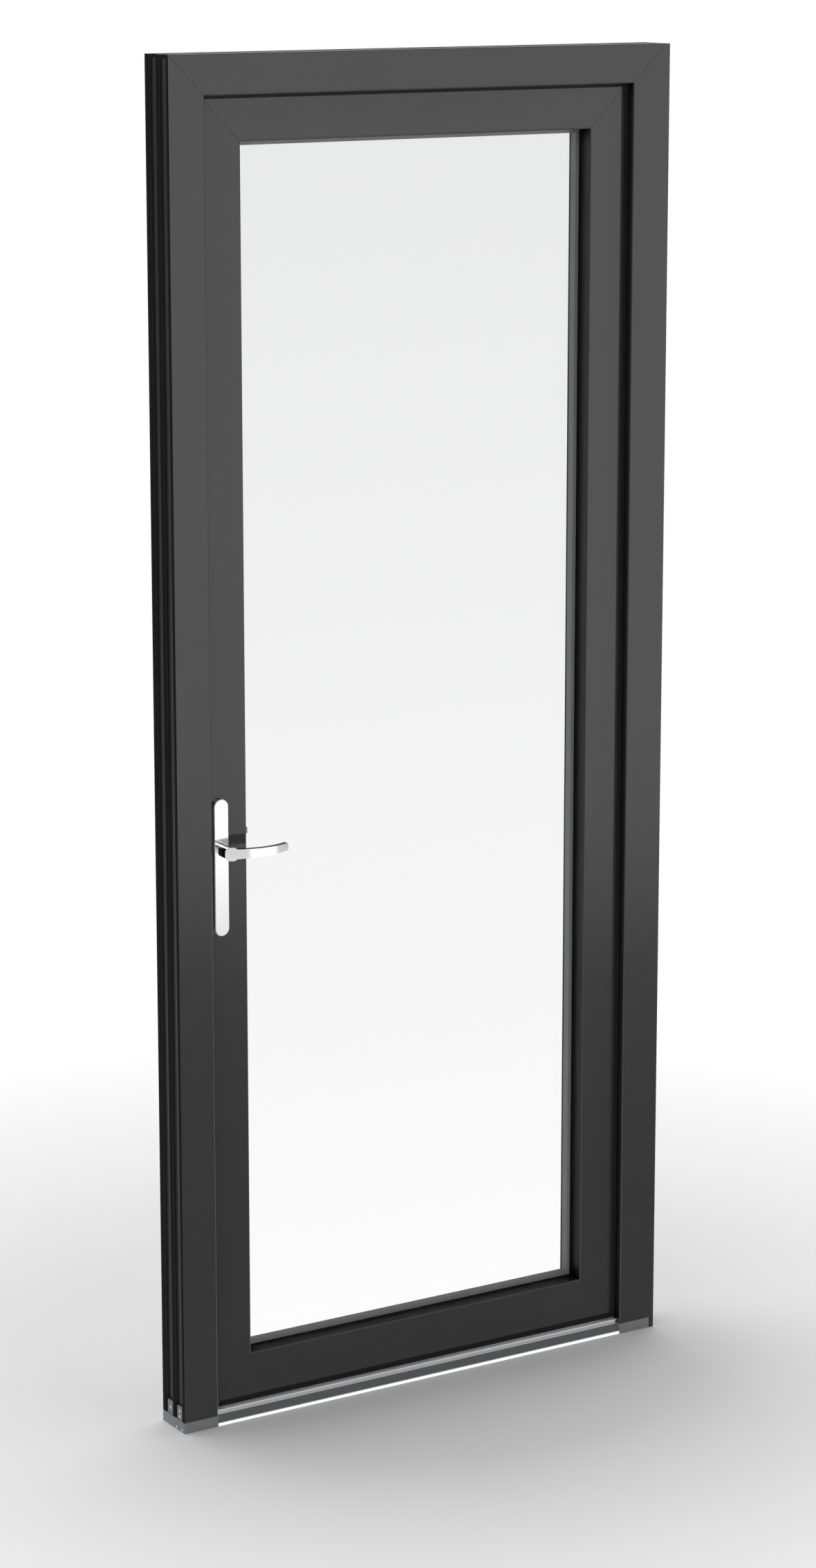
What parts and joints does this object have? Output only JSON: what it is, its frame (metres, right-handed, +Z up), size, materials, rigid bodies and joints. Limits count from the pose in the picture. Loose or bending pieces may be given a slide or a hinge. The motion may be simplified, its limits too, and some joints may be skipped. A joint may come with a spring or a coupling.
{
  "type": "glass terrace door with frame",
  "caption": "Inward-opening glazed terrace door in a dark mitred frame, with low aluminium threshold, bowed lever handles, geared multi-point lock and barrel hinges.",
  "frame": {"origin": "underside of the threshold, at mid width of the mitred frame and mid depth of the frame profile", "axes": "+X right as seen from outside, +Y from the outside to the inside, +Z up"},
  "size_m": [1.01, 0.184, 2.4],
  "materials": {
    "profile": "smooth dark grey foil with a soft sheen",
    "gasket": "black sealing rubber",
    "threshold": "natural satin anodised",
    "insert": "black insulating plastic",
    "end_block": "moulded grey plastic",
    "glass": "clear float glass",
    "spacer": "matt metal spacer bar",
    "satin_metal": "satin silver",
    "zinc_steel": "bright zinc plated"
  },
  "bodies": {
    "frame": {"left_jamb": "profile", "right_jamb": "profile", "head": "profile", "side_strip": "profile", "frame_steel": "zinc_steel", "stop_gasket": "gasket", "threshold_outer": "threshold", "threshold_insert": "insert", "threshold_inner": "threshold", "threshold_gasket": "gasket", "rail_caps": "end_block", "left_end_block": "end_block", "right_end_block": "end_block", "block_screws": "zinc_steel", "keeps": "zinc_steel", "hinge_frame_plates": "satin_metal", "hinge_pins": "zinc_steel"},
    "leaf": {"lock_stile": "profile", "hinge_stile": "profile", "top_rail": "profile", "bottom_rail": "profile", "leaf_steel": "zinc_steel", "lap_gasket": "gasket", "outer_pane": "glass", "inner_pane": "glass", "spacer_bar": "spacer", "edge_seal": "gasket", "outer_glazing_gasket": "gasket", "inner_glazing_gasket": "gasket", "left_bead": "profile", "right_bead": "profile", "top_bead": "profile", "bottom_bead": "profile", "setting_blocks": "end_block", "hinge_leaf_plates": "satin_metal", "outer_backplate": "satin_metal", "inner_backplate": "satin_metal", "plate_bolts": "zinc_steel", "gearbox_case": "zinc_steel", "gearbox_cover": "zinc_steel", "faceplate": "satin_metal"},
    "handle": {"outer_lever": "satin_metal", "inner_lever": "satin_metal", "spindle": "zinc_steel", "pinion": "zinc_steel"},
    "drive_rail": {"drive_rail": "zinc_steel", "rack_slide": "zinc_steel", "locking_rollers": "zinc_steel"}
  },
  "joints": [
    {"name": "door_swing", "type": "hinge", "parent": "frame", "child": "leaf", "pos_m": [0.471, 0.053, 0], "axis": [0, 0, -1], "range_deg": [0, 100]},
    {"name": "handle_turn", "type": "hinge", "parent": "leaf", "child": "handle", "pos_m": [-0.40725, 0, 1.0455], "axis": [0, 1, 0], "range_deg": [0, 90]},
    {"name": "rail_slide", "type": "slide", "parent": "leaf", "child": "drive_rail", "axis": [0, 0, 1], "range_m": [0, 0.0181]}
  ],
  "couplings": [
    {"joint": "rail_slide", "follows": "handle_turn", "m_per_rad": 0.011459}
  ]
}
